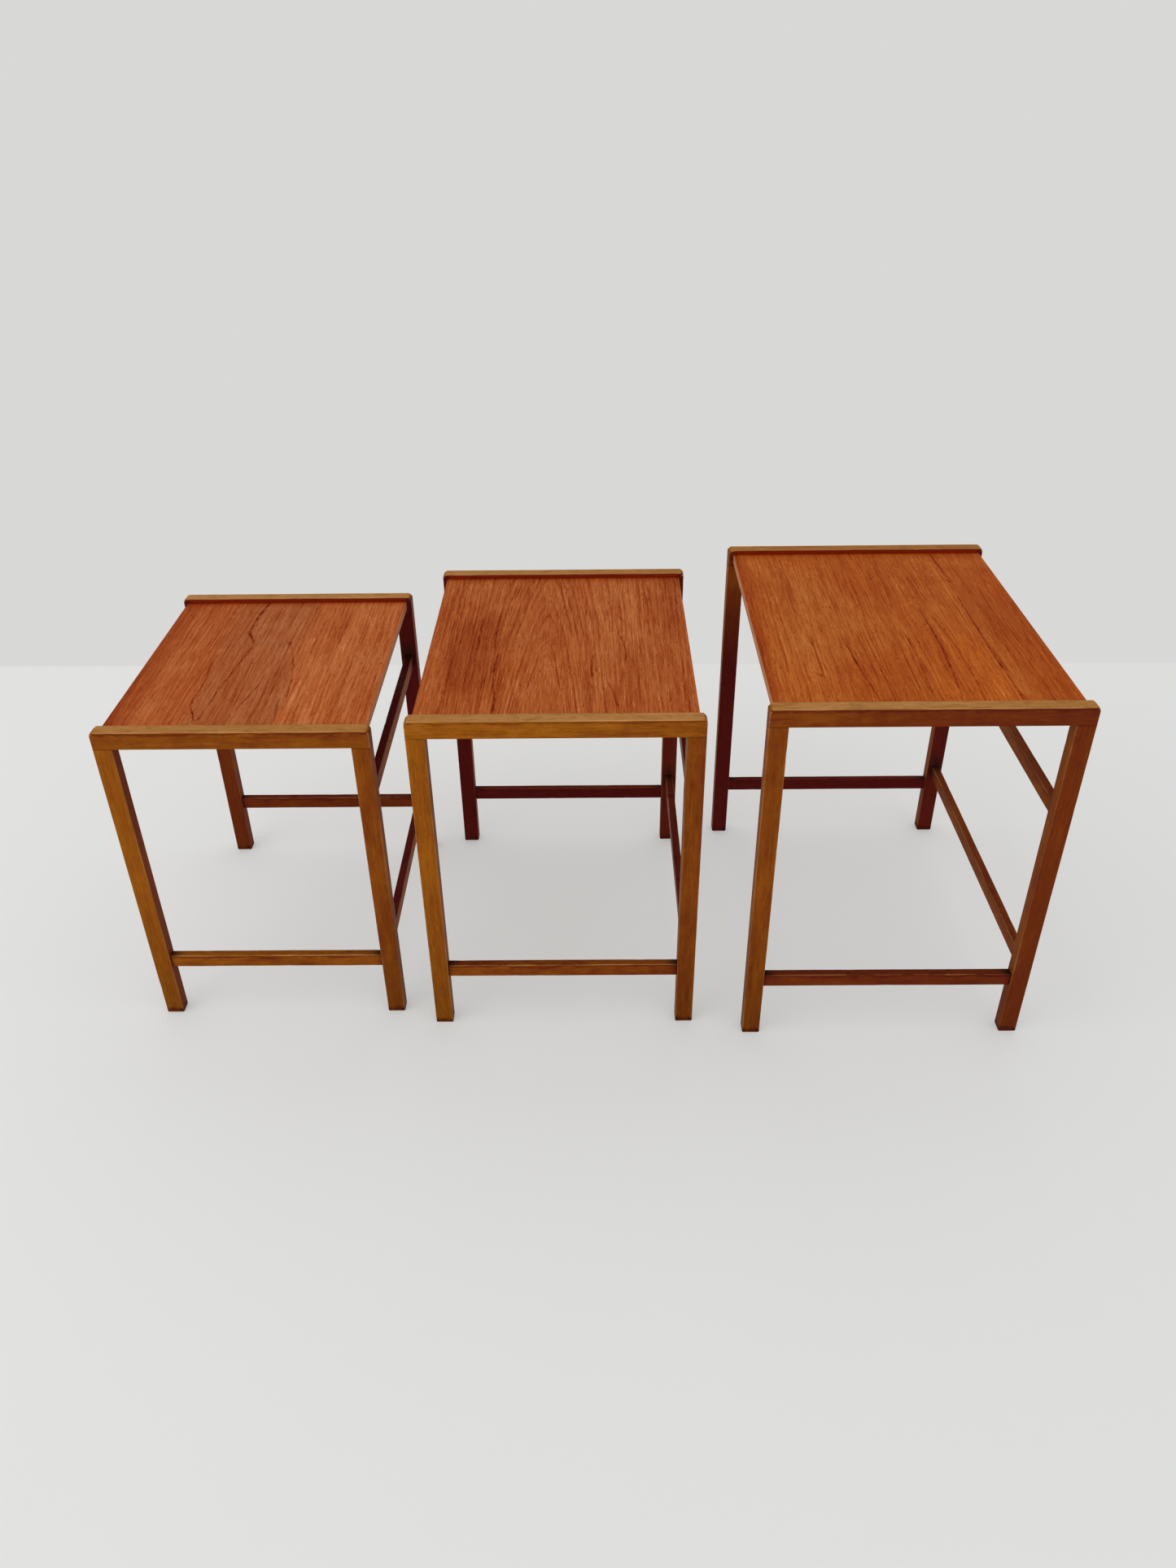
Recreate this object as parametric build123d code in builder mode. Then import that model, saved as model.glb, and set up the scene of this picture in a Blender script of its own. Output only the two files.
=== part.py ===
"""A nest of three side tables, beech frames with teak tops, drawn out and standing in a row.

Millimetres, +Z up. X runs along the row, from the small table to the large one, and Y from the
front end frames to the rear ones. The origin is on the floor, at the middle of the row. Each table
is open on its left, where the next smaller one slides in, and closed on its right by two side rails.
"""

import os

from build123d import *

os.makedirs("parts", exist_ok=True)

# The large table, and the step down to each smaller one
LARGE_WIDTH = 368.0
LARGE_DEPTH = 484.0
LARGE_HEIGHT = 500.0
WIDTH_STEP = 19.0
DEPTH_STEP = 44.0
HEIGHT_STEP = 25.0

# Room between the tables as they stand in the row
SMALL_TO_MEDIUM = 46.0
MEDIUM_TO_LARGE = 66.0

# Frame sections and levels, the same on all three tables
LEG_WIDTH = 23.0
FRAME_THICKNESS = 18.0
RAIL_HEIGHT = 23.0
RAIL_CORNER = 5.0
BAR_THICKNESS = 11.0
BAR_HEIGHT = 19.0
STRETCHER_TOP = 100.0
LOWER_SIDE_RAIL_TOP = 128.0
UPPER_SIDE_RAIL_TOP = 358.0
ARRIS = 1.5
FOOT_CHAMFER = 1.2

# Top board, let in below the upper faces of the top rails
TOP_THICKNESS = 12.0
TOP_DROP = 5.0
TOP_INSET = 7.0
VENEER = 0.6
LIPPING_WIDTH = 4.0

# Dowels: radius, and the length on each side of the joint face
LEG_DOWEL_RADIUS = 4.0
LEG_DOWEL_IN_LEG = 18.0
LEG_DOWEL_IN_RAIL = 12.0
BAR_DOWEL_RADIUS = 3.0
BAR_DOWEL_SPACING = 9.0
BAR_DOWEL_IN_BAR = 14.0
STRETCHER_DOWEL_IN_LEG = 14.0
SIDE_DOWEL_IN_LEG = 10.0
TOP_DOWEL_IN_RAIL = 10.0
TOP_DOWEL_EDGE = 60.0
GLUE_GAP = 0.1
SOCKET_DEPTH_SPARE = 1.0

LEFT, RIGHT = -1, 1
FRONT, REAR = -1, 1
SIDES = {"left": LEFT, "right": RIGHT}
ENDS = {"front": FRONT, "rear": REAR}


class Table:
    """One table of the nest: its outer size and the places that its pieces share."""

    def __init__(self, name, steps_down, left):
        self.name = name
        self.width = LARGE_WIDTH - steps_down * WIDTH_STEP
        self.depth = LARGE_DEPTH - steps_down * DEPTH_STEP
        self.height = LARGE_HEIGHT - steps_down * HEIGHT_STEP
        self.left = left
        self.right = left + self.width
        self.middle = left + self.width / 2
        self.leg_top = self.height - RAIL_HEIGHT
        self.top_face = self.height - TOP_DROP
        self.top_length = self.depth - 2 * FRAME_THICKNESS
        self.top_width = self.width - 2 * TOP_INSET

    def leg_x(self, side):
        """Centre of the legs on one side."""
        return self.middle + side * (self.width - LEG_WIDTH) / 2

    def frame_y(self, end):
        """Centre of the end frame at one end."""
        return end * (self.depth - FRAME_THICKNESS) / 2


ROW_LENGTH = 3 * LARGE_WIDTH - 3 * WIDTH_STEP + SMALL_TO_MEDIUM + MEDIUM_TO_LARGE
SMALL = Table("small", 2, -ROW_LENGTH / 2)
MEDIUM = Table("medium", 1, SMALL.right + SMALL_TO_MEDIUM)
LARGE = Table("large", 0, MEDIUM.right + MEDIUM_TO_LARGE)


class Dowel:
    """A dowel across a joint face: its place there, its direction and its length each way."""

    def __init__(self, place, direction, radius, ahead, behind):
        self.radius = radius
        self.length = ahead + behind
        centre = Vector(*place) + Vector(*direction) * ((ahead - behind) / 2)
        self.plane = Plane(origin=centre, z_dir=direction)


def leg_dowels(table, ends=(FRONT, REAR), sides=(LEFT, RIGHT)):
    """One dowel up out of each leg into the top rail."""
    return [
        Dowel((table.leg_x(side), table.frame_y(end), table.leg_top), (0, 0, 1),
              LEG_DOWEL_RADIUS, LEG_DOWEL_IN_RAIL, LEG_DOWEL_IN_LEG)
        for end in ends
        for side in sides
    ]


def stretcher_dowels(table, ends=(FRONT, REAR), sides=(LEFT, RIGHT)):
    """Two dowels, one above the other, from each end of each stretcher into the leg."""
    level = STRETCHER_TOP - BAR_HEIGHT / 2
    return [
        Dowel((table.leg_x(side) - side * LEG_WIDTH / 2, table.frame_y(end), level + lift),
              (side, 0, 0), BAR_DOWEL_RADIUS, STRETCHER_DOWEL_IN_LEG, BAR_DOWEL_IN_BAR)
        for end in ends
        for side in sides
        for lift in (-BAR_DOWEL_SPACING / 2, BAR_DOWEL_SPACING / 2)
    ]


def side_rail_dowels(table, ends=(FRONT, REAR), tops=(LOWER_SIDE_RAIL_TOP, UPPER_SIDE_RAIL_TOP)):
    """Two dowels, one above the other, from each end of each side rail into the right legs."""
    return [
        Dowel((table.leg_x(RIGHT), table.frame_y(end) - end * FRAME_THICKNESS / 2,
               top - BAR_HEIGHT / 2 + lift),
              (0, end, 0), BAR_DOWEL_RADIUS, SIDE_DOWEL_IN_LEG, BAR_DOWEL_IN_BAR)
        for end in ends
        for top in tops
        for lift in (-BAR_DOWEL_SPACING / 2, BAR_DOWEL_SPACING / 2)
    ]


def top_dowels(table, ends=(FRONT, REAR)):
    """Three dowels in a row from each end of the top's core board into the top rail."""
    reach = table.top_width / 2 - TOP_DOWEL_EDGE
    return [
        Dowel((table.middle + along, table.frame_y(end) - end * FRAME_THICKNESS / 2,
               table.top_face - TOP_THICKNESS / 2),
              (0, end, 0), BAR_DOWEL_RADIUS, TOP_DOWEL_IN_RAIL, BAR_DOWEL_IN_BAR)
        for end in ends
        for along in (-reach, 0, reach)
    ]


def bore_sockets(dowels):
    """Bore a socket for each dowel out of the piece being built, a little wide and deep for glue."""
    for dowel in dowels:
        with Locations(dowel.plane):
            Cylinder(dowel.radius + GLUE_GAP, dowel.length + 2 * SOCKET_DEPTH_SPARE, mode=Mode.SUBTRACT)


def save(piece, name):
    """Label a finished piece and write it to its own file."""
    piece.label = name
    export_step(piece, f"parts/{name}.step")


def make_leg(table, end_name, side_name):
    """Square leg, arrises eased, foot chamfered, bored for its dowels."""
    end, side = ENDS[end_name], SIDES[side_name]
    foot = Plane(origin=(table.leg_x(side), table.frame_y(end), 0))
    with BuildPart() as leg:
        with BuildSketch(foot):
            Rectangle(LEG_WIDTH, FRAME_THICKNESS)
        extrude(amount=table.leg_top)
        fillet(leg.edges().filter_by(Axis.Z), ARRIS)
        chamfer(leg.faces().sort_by(Axis.Z)[0].edges(), FOOT_CHAMFER)
        bore_sockets(leg_dowels(table, [end], [side]))
        bore_sockets(stretcher_dowels(table, [end], [side]))
        if side == RIGHT:
            bore_sockets(side_rail_dowels(table, [end]))
    save(leg.part, f"{table.name}_{end_name}_{side_name}_leg")


def make_top_rail(table, end_name):
    """Rail across two leg tops, upper end corners rounded, all arrises eased but the two underneath."""
    end = ENDS[end_name]
    back = Plane(
        origin=(table.middle, table.frame_y(end) + FRAME_THICKNESS / 2, table.height - RAIL_HEIGHT / 2),
        x_dir=(1, 0, 0),
        z_dir=(0, -1, 0),
    )
    with BuildPart() as rail:
        with BuildSketch(back) as profile:
            Rectangle(table.width, RAIL_HEIGHT)
            fillet(profile.vertices().group_by(Axis.Y)[-1], RAIL_CORNER)
        extrude(amount=FRAME_THICKNESS)
        arrises = rail.edges().filter_by(Axis.Y, reverse=True).sort_by(Axis.Z)[2:]
        fillet(arrises, ARRIS)
        bore_sockets(leg_dowels(table, [end]))
        bore_sockets(top_dowels(table, [end]))
    save(rail.part, f"{table.name}_{end_name}_top_rail")


def make_stretcher(table, end_name):
    """Low bar between the two legs of an end frame, on the frame's centre line."""
    end = ENDS[end_name]
    length = table.width - 2 * LEG_WIDTH
    with BuildPart() as stretcher:
        with Locations((table.middle, table.frame_y(end), STRETCHER_TOP - BAR_HEIGHT / 2)):
            Box(length, BAR_THICKNESS, BAR_HEIGHT)
        fillet(stretcher.edges().filter_by(Axis.X), ARRIS)
        bore_sockets(stretcher_dowels(table, [end]))
    save(stretcher.part, f"{table.name}_{end_name}_stretcher")


def make_side_rail(table, level_name, top):
    """Bar between the right legs of the two end frames, on the legs' centre line."""
    with BuildPart() as rail:
        with Locations((table.leg_x(RIGHT), 0, top - BAR_HEIGHT / 2)):
            Box(BAR_THICKNESS, table.top_length, BAR_HEIGHT)
        fillet(rail.edges().filter_by(Axis.Y), ARRIS)
        bore_sockets(side_rail_dowels(table, tops=[top]))
    save(rail.part, f"{table.name}_{level_name}_side_rail")


def make_core(table):
    """Core board of the top, between the two lippings and the two veneers."""
    with BuildPart() as core:
        with Locations((table.middle, 0, table.top_face - TOP_THICKNESS / 2)):
            Box(table.top_width - 2 * LIPPING_WIDTH, table.top_length, TOP_THICKNESS - 2 * VENEER)
        bore_sockets(top_dowels(table))
    save(core.part, f"{table.name}_top_core")


def make_veneer(table, layer_name, level):
    """Sheet of veneer over the core board and both lippings, its middle at the given level."""
    with BuildPart() as veneer:
        with Locations((table.middle, 0, level)):
            Box(table.top_width, table.top_length, VENEER)
    save(veneer.part, f"{table.name}_{layer_name}_veneer")


def make_lipping(table, side_name):
    """Solid strip along one long edge of the core board, between the two veneers."""
    side = SIDES[side_name]
    across = table.middle + side * (table.top_width - LIPPING_WIDTH) / 2
    with BuildPart() as lipping:
        with Locations((across, 0, table.top_face - TOP_THICKNESS / 2)):
            Box(LIPPING_WIDTH, table.top_length, TOP_THICKNESS - 2 * VENEER)
    save(lipping.part, f"{table.name}_{side_name}_lipping")


def make_dowels(table, group_name, dowels):
    """A group of dowels, each a separate solid."""
    with BuildPart() as group:
        for dowel in dowels:
            with Locations(dowel.plane):
                Cylinder(dowel.radius, dowel.length)
    save(group.part, f"{table.name}_{group_name}_dowels")


for table in (SMALL, MEDIUM, LARGE):
    for end_name in ENDS:
        for side_name in SIDES:
            make_leg(table, end_name, side_name)
        make_top_rail(table, end_name)
        make_stretcher(table, end_name)
    make_side_rail(table, "lower", LOWER_SIDE_RAIL_TOP)
    make_side_rail(table, "upper", UPPER_SIDE_RAIL_TOP)
    make_core(table)
    make_veneer(table, "face", table.top_face - VENEER / 2)
    make_veneer(table, "backing", table.top_face - TOP_THICKNESS + VENEER / 2)
    for side_name in SIDES:
        make_lipping(table, side_name)
    make_dowels(table, "leg", leg_dowels(table))
    make_dowels(table, "stretcher", stretcher_dowels(table))
    make_dowels(table, "side_rail", side_rail_dowels(table))
    make_dowels(table, "top", top_dowels(table))
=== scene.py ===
"""Looks of a nest of three side tables: stained beech frames with teak veneered tops.

Metres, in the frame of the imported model. The bars of the frames are new surfaces, so that their
arrises can be worn unevenly and each face can carry how far the light has faded it. The pieces of
the tops keep their solids and get their finish here.
"""

import math
from dataclasses import dataclass

import bmesh
import bpy
import numpy as np
from mathutils import Matrix, Vector


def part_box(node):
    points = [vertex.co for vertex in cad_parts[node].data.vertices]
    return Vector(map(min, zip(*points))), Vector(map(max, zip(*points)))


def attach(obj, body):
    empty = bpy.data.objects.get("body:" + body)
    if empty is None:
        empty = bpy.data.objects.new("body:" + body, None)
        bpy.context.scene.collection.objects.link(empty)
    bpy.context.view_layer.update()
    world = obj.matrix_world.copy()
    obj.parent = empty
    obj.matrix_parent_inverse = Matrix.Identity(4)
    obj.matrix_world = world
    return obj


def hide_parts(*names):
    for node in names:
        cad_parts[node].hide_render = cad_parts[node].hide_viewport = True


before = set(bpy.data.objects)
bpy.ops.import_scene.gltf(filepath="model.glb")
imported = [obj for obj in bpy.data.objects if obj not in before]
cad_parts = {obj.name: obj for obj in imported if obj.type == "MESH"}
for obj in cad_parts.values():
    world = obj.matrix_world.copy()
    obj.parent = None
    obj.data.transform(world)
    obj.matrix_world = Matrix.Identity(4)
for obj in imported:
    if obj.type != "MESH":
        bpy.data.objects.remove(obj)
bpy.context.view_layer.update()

X, Y, Z = 0, 1, 2
TABLES = ("small", "medium", "large")
SEED = 8103

# Shape of the bars
ARRIS = 0.0012
RAIL_CORNER = 0.0050
CORNER_EASING = 0.0030
STATION_STEP = 0.004
ARRIS_STEPS = 5
CORNER_STEPS = 10
EDGE_SUPPORT = 0.0004
RUN_MARGIN = 1.5 * ARRIS
SHARP_ANGLE = math.radians(35)
MERGE_DISTANCE = 1e-7

# Wear of the arrises
WAVE_SHARE = 0.12
WAVE_TURNS = (1.3, 2.9, 7.1, 15.7)
WEAR_RISE = 12
KNOCKS_PER_METRE = 5
KNOCK_DEPTH = (0.0002, 0.0007)
KNOCK_LENGTH = (0.003, 0.008)


@dataclass
class Bar:
    """How one kind of bar lies: its axes, the radii of its outline's corners, and the sides that are eased.

    Corners go low end and low side, high end and low side, high end and high side, low end and high side.
    """
    along: int
    across: int
    through: int
    corners: tuple
    eased_ends: tuple
    eased_sides: tuple


LEG = Bar(Z, X, Y, (ARRIS, 0, 0, ARRIS), (1, 0), (1, 1))
TOP_RAIL = Bar(X, Z, Y, (0, 0, RAIL_CORNER, RAIL_CORNER), (1, 1), (0, 1))
STRETCHER = Bar(X, Z, Y, (0, 0, 0, 0), (0, 0), (1, 1))
SIDE_RAIL = Bar(Y, Z, X, (0, 0, 0, 0), (0, 0), (1, 1))


def corner_points(corner, first, second, radius, eased, start, stop):
    """Part of one corner of an outline, and the direction in which each point is drawn in.

    With a radius it is centre + radius (cos t first + sin t second), t from start to stop right
    angles, drawn in along its own radius. Without one it is the bare corner, drawn in by both sides.
    """
    first, second = np.array(first, float), np.array(second, float)
    if radius == 0:
        return np.array([corner], float), np.array([eased[0] * first + eased[1] * second])
    turn = np.linspace(start, stop, CORNER_STEPS)[:, None] * math.pi / 2
    outward = np.cos(turn) * first + np.sin(turn) * second
    centre = np.array(corner) - radius * (first + second)
    return centre + radius * outward, outward


def run_points(start, stop, count, outward):
    """Points along one straight side, evenly spaced from a margin at its start to one at its stop.

    All are drawn in alike.
    """
    start, stop = np.array(start, float), np.array(stop, float)
    margin = RUN_MARGIN / np.linalg.norm(stop - start)
    share = np.linspace(margin, 1 - margin, count)[:, None]
    return start + share * (stop - start), np.repeat([outward], count, axis=0)


def bar_outline(low, high, bar):
    """Two paths from the low end of a bar's broad face to its high end: low side, and the other way round.

    Each path is its points and the direction of each point's drawing in. Both have as many points.
    """
    (a0, b0), (a1, b1) = low, high
    radius = bar.corners
    low_end, high_end = bar.eased_ends
    low_side, high_side = bar.eased_sides
    left, right, down, up = np.array([(-1.0, 0.0), (1.0, 0.0), (0.0, -1.0), (0.0, 1.0)])
    long_count = max(3, round((a1 - a0) / STATION_STEP))
    end_count = max(3, round((b1 - b0) / STATION_STEP))
    upper = [
        corner_points((a0, b0), down, left, radius[0], (low_side, low_end), 0.5, 1),
        run_points((a0, b0 + radius[0]), (a0, b1 - radius[3]), end_count, low_end * left),
        corner_points((a0, b1), left, up, radius[3], (low_end, high_side), 0, 1),
        run_points((a0 + radius[3], b1), (a1 - radius[2], b1), long_count, high_side * up),
        corner_points((a1, b1), up, right, radius[2], (high_side, high_end), 0, 1),
        run_points((a1, b1 - radius[2]), (a1, b0 + radius[1]), end_count, high_end * right),
        corner_points((a1, b0), right, down, radius[1], (high_end, low_side), 0, 0.5),
    ]
    upper_points, upper_draw = (np.concatenate(part) for part in zip(*upper))
    first = corner_points((a0, b0), down, left, radius[0], (low_side, low_end), 0.5, 0)
    last = corner_points((a1, b0), right, down, radius[1], (high_end, low_side), 0.5, 1)
    middle_count = len(upper_points) - len(first[0]) - len(last[0])
    middle = run_points((a0 + radius[0], b0), (a1 - radius[1], b0), middle_count, low_side * down)
    lower_points, lower_draw = (np.concatenate(part) for part in zip(first, middle, last))
    return lower_points, lower_draw, upper_points, upper_draw


def worn_radius(places, random):
    """Radius of one arris at each place along it: ARRIS (1 + slow waves) plus the knocks it has taken.

    Both fade out at the two ends, where the arris meets its neighbours.
    """
    length = places[-1] - places[0]
    share = (places - places[0]) / length
    wave = sum(
        np.sin(2 * math.pi * (turns * share + random.uniform())) / turns ** 0.5
        for turns in WAVE_TURNS
    )
    knocks = np.zeros_like(places)
    for _ in range(max(1, round(length * KNOCKS_PER_METRE))):
        place = random.uniform(places[0], places[-1])
        reach = random.uniform(*KNOCK_LENGTH)
        knocks += random.uniform(*KNOCK_DEPTH) * np.exp(-((places - place) / reach) ** 2)
    window = np.clip(WEAR_RISE * np.minimum(share, 1 - share), 0, 1)
    return ARRIS + window * (ARRIS * WAVE_SHARE * wave + knocks)


def cornering(draw):
    """How far each point of an outline is round a corner: the squared sine of twice the angle turned."""
    return (2 * draw.prod(axis=1)) ** 2


def bar_surface(low, high, bar, random):
    """Closed surface of a bar as a grid: stations along its length, and a loop round it at each.

    The loop goes up the near face, over an arris, across the upper path, over an arris, down the far
    face and back along the lower path. On an arris of radius r at angle t the outline is drawn in by
    r (1 - sin t), at r (1 - cos t) from the face; r is CORNER_EASING wider where a corner turns. Gives
    the points and how much each is on an arris.
    """
    order = [bar.along, bar.across, bar.through]
    a0, b0, near = (low[axis] for axis in order)
    a1, b1, far = (high[axis] for axis in order)
    lower, lower_draw, upper, upper_draw = bar_outline((a0, b0), (a1, b1), bar)
    places = np.linspace(a0, a1, len(lower))
    draws = {"near_low": lower_draw, "near_up": upper_draw, "far_low": lower_draw, "far_up": upper_draw}
    radii = {
        edge: (worn_radius(places, random) + CORNER_EASING * cornering(draw))[:, None]
        for edge, draw in draws.items()
    }
    turn = np.linspace(0, 1, ARRIS_STEPS + 1)[None, 1:] * math.pi / 2

    def face(edge_low, edge_up, level):
        support = EDGE_SUPPORT / (b1 - b0)
        share = np.array([0, support, 0.5, 1 - support, 1])[None, :, None]
        low_line = (lower - radii[edge_low] * lower_draw)[:, None]
        up_line = (upper - radii[edge_up] * upper_draw)[:, None]
        flat = low_line * (1 - share) + up_line * share
        depth = np.full(flat.shape[:2], level)
        return flat, depth, np.zeros_like(depth)

    def arris(path, draw, radius, level, inward):
        inset = radius * (1 - np.sin(turn))
        flat = path[:, None] - inset[..., None] * draw[:, None]
        depth = level + inward * radius * (1 - np.cos(turn))
        eased = np.linalg.norm(draw, axis=1) > 0
        return flat, depth, np.sin(2 * turn) * (eased * (1 - cornering(draw)))[:, None]

    def band(path, near_radius, far_radius):
        start, stop = near + near_radius, far - far_radius
        support = EDGE_SUPPORT / (far - near)
        depth = start + (stop - start) * np.array([support, 0.5, 1 - support])[None]
        return np.repeat(path[:, None], 3, axis=1), depth, np.zeros_like(depth)

    def reversed_loop(block):
        return tuple(part[:, ::-1] for part in block)

    blocks = [
        face("near_low", "near_up", near),
        arris(upper, upper_draw, radii["near_up"], near, 1),
        band(upper, radii["near_up"], radii["far_up"]),
        reversed_loop(arris(upper, upper_draw, radii["far_up"], far, -1)),
        reversed_loop(face("far_low", "far_up", far)),
        arris(lower, lower_draw, radii["far_low"], far, -1),
        reversed_loop(band(lower, radii["near_low"], radii["far_low"])),
        reversed_loop(arris(lower, lower_draw, radii["near_low"], near, 1)),
    ]
    flat, depth, wear = (np.concatenate(part, axis=1) for part in zip(*blocks))
    points = np.empty(depth.shape + (3,))
    points[..., bar.along] = flat[..., 0]
    points[..., bar.across] = flat[..., 1]
    points[..., bar.through] = depth
    return points, wear


def put_attribute(mesh, name, values):
    """Keep one number for each point of a mesh under a name that the finishes read."""
    mesh.attributes.new(name, "FLOAT", "POINT").data.foreach_set("value", values.astype(np.float32))


def read_points(mesh, name):
    """Places or normals of a mesh's points, one row each."""
    rows = np.empty(len(mesh.vertices) * 3)
    mesh.vertices.foreach_get(name, rows)
    return rows.reshape(-1, 3)


def grid_mesh(name, points, wear, right_handed):
    """Mesh of a grid that closes round its second parameter; the two collapsed ends are merged shut.

    Faces point outwards where the bar's length, breadth and depth are right-handed, or else are turned.
    """
    stations, round_count = points.shape[:2]
    index = np.arange(stations * round_count).reshape(stations, round_count)
    here, there = index[:-1], index[1:]
    corners = [here, np.roll(here, -1, axis=1), np.roll(there, -1, axis=1), there]
    quads = np.stack(corners if right_handed else corners[::-1], axis=-1).reshape(-1, 4)
    mesh = bpy.data.meshes.new(name)
    mesh.from_pydata(points.reshape(-1, 3), [], quads)
    # How much each point is on an arris: where the arris is worn pale and a highlight is painted
    put_attribute(mesh, "wear", wear.ravel())
    work = bmesh.new()
    work.from_mesh(mesh)
    bmesh.ops.remove_doubles(work, verts=work.verts, dist=MERGE_DISTANCE)
    work.to_mesh(mesh)
    work.free()
    mesh.shade_smooth()
    mesh.set_sharp_from_angle(angle=SHARP_ANGLE)
    return mesh


@dataclass
class Ageing:
    """How far the light has faded one table's stain: 0 is dark red, 0.5 red brown, 1 golden, 1.5 bleached.

    Below 0 it turns towards a bright red that paints light bounced from the top onto a rail's inner
    face. Pairs go from the left of the table to its right, but rail tops from front to rear. Shade is
    the faces that look in under the top along Y: left legs low down and high up, then right legs.
    Grime and shade is how dark the marks at joints are, which are dirt and painted contact shade.
    """
    legs: tuple
    rails: tuple
    rail_tops: tuple
    stretchers: tuple
    stretcher_tops: tuple
    shade: tuple
    inside: float
    side_rail_tops: float
    grime_and_shade: float


AGEING = {
    "small": Ageing(
        legs=(0.88, 0.66), rails=(0.72, 0.67), rail_tops=(1.46, 1.62), stretchers=(0.82, 0.66),
        stretcher_tops=(0.92, 0.74), shade=(0.40, 0.15, 0.0), inside=0.45, side_rail_tops=0.05, grime_and_shade=0.8,
    ),
    "medium": Ageing(
        legs=(0.87, 0.62), rails=(0.98, 0.80), rail_tops=(1.58, 1.46), stretchers=(0.70, 0.56),
        stretcher_tops=(0.52, 0.78), shade=(0.0, 0.10, 0.15), inside=0.50, side_rail_tops=0.20, grime_and_shade=0.75,
    ),
    "large": Ageing(
        legs=(0.67, 0.44), rails=(0.60, 0.30), rail_tops=(1.54, 1.30), stretchers=(0.42, 0.30),
        stretcher_tops=(0.34, 0.30), shade=(0.0, 0.57, 0.05), inside=0.62, side_rail_tops=0.52, grime_and_shade=0.9,
    ),
}
SHADE_START, SHADE_STOP = 0.62, 0.90
REAR_STRETCHER_TOP = 0.35
# Bright red on a rail's inner face over the board: painted light bounced from the top
RAIL_INSIDE_PAINTED_BOUNCE = -0.5
UNDERSIDE_FADE = 0.05
JOINT_REACH = 0.012
# Reach of the dark marks where bars meet: dirt with painted contact shade
SMUDGE_AND_SHADE_REACH = 0.011


def between(start, stop, share):
    """Number that goes from start to stop as the share goes from 0 to 1."""
    return start + (stop - start) * share


def fading(table, kind, end, side, places, normals):
    """Fading of each point: the sum over six directions of that side's fading times its squared cosine.

    End is -1 on the front frame, 1 on the rear one and 0 between them; side is -1 at the left, 1 at
    the right and 0 between.
    """
    age = AGEING[table]
    low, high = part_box(f"{table}_front_top_rail")
    across = (places[:, X] - low.x) / (high.x - low.x)
    rise = np.clip((places[:, Z] / high.z - SHADE_START) / (SHADE_STOP - SHADE_START), 0, 1)
    outer = between(*age.legs, across)
    shade = age.shade[2] if side > 0 else between(*age.shade[:2], rise)
    above = shade
    if kind == "top_rail":
        board_low, board_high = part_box(f"{table}_face_veneer")
        beside = [places[:, X] < board_low.x, places[:, X] > board_high.x]
        # Over the board the rail's inner face is painted with light bounced from the top
        shade = np.select(beside, age.shade[1:], RAIL_INSIDE_PAINTED_BOUNCE)
        outer, above = between(*age.rails, across), age.rail_tops[end > 0]
    elif kind == "stretcher":
        outer, above = between(*age.stretchers, across), between(*age.stretcher_tops, across)
        above = above if end < 0 else REAR_STRETCHER_TOP * above
    elif kind == "side_rail":
        above = age.side_rail_tops
    sides = {(X, -1): age.inside, (X, 1): age.inside, (Y, -1): shade, (Y, 1): shade}
    sides[Z, 1], sides[Z, -1] = above, UNDERSIDE_FADE
    if end:
        sides[Y, end] = outer
    if side:
        sides[X, side] = outer
    return sum(fade * np.maximum(sign * normals[:, axis], 0) ** 2 for (axis, sign), fade in sides.items())


def smudges_and_contact_shade(table, kind, end, side, places, normals):
    """Dark marks where bars meet, partly dirt and partly painted contact shade.

    Each is a bell curve SMUDGE_AND_SHADE_REACH wide. On the inner face of a right leg they are spots
    close above each side rail; on a stretcher they are on the upper face at both ends, and on a side
    rail all round its rear end.
    """
    def bell(distance):
        return np.exp(-(distance / SMUDGE_AND_SHADE_REACH) ** 2)

    if kind == "leg" and side > 0:
        inner = np.maximum(-end * normals[:, Y], 0)
        off_middle = places[:, X] - (places[:, X].min() + places[:, X].max()) / 2
        tops = [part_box(f"{table}_{level}_side_rail")[1].z for level in ("upper", "lower")]
        rises = [places[:, Z] - top - SMUDGE_AND_SHADE_REACH / 2 for top in tops]
        return sum(inner * bell(np.hypot(off_middle, rise)) for rise in rises)
    if kind == "stretcher":
        upper = np.maximum(normals[:, Z], 0)
        return upper * (bell(places[:, X] - places[:, X].min()) + bell(places[:, X].max() - places[:, X]))
    if kind == "side_rail":
        return bell((places[:, Y].max() - places[:, Y]) / 2)
    return np.zeros(len(places))


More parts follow.
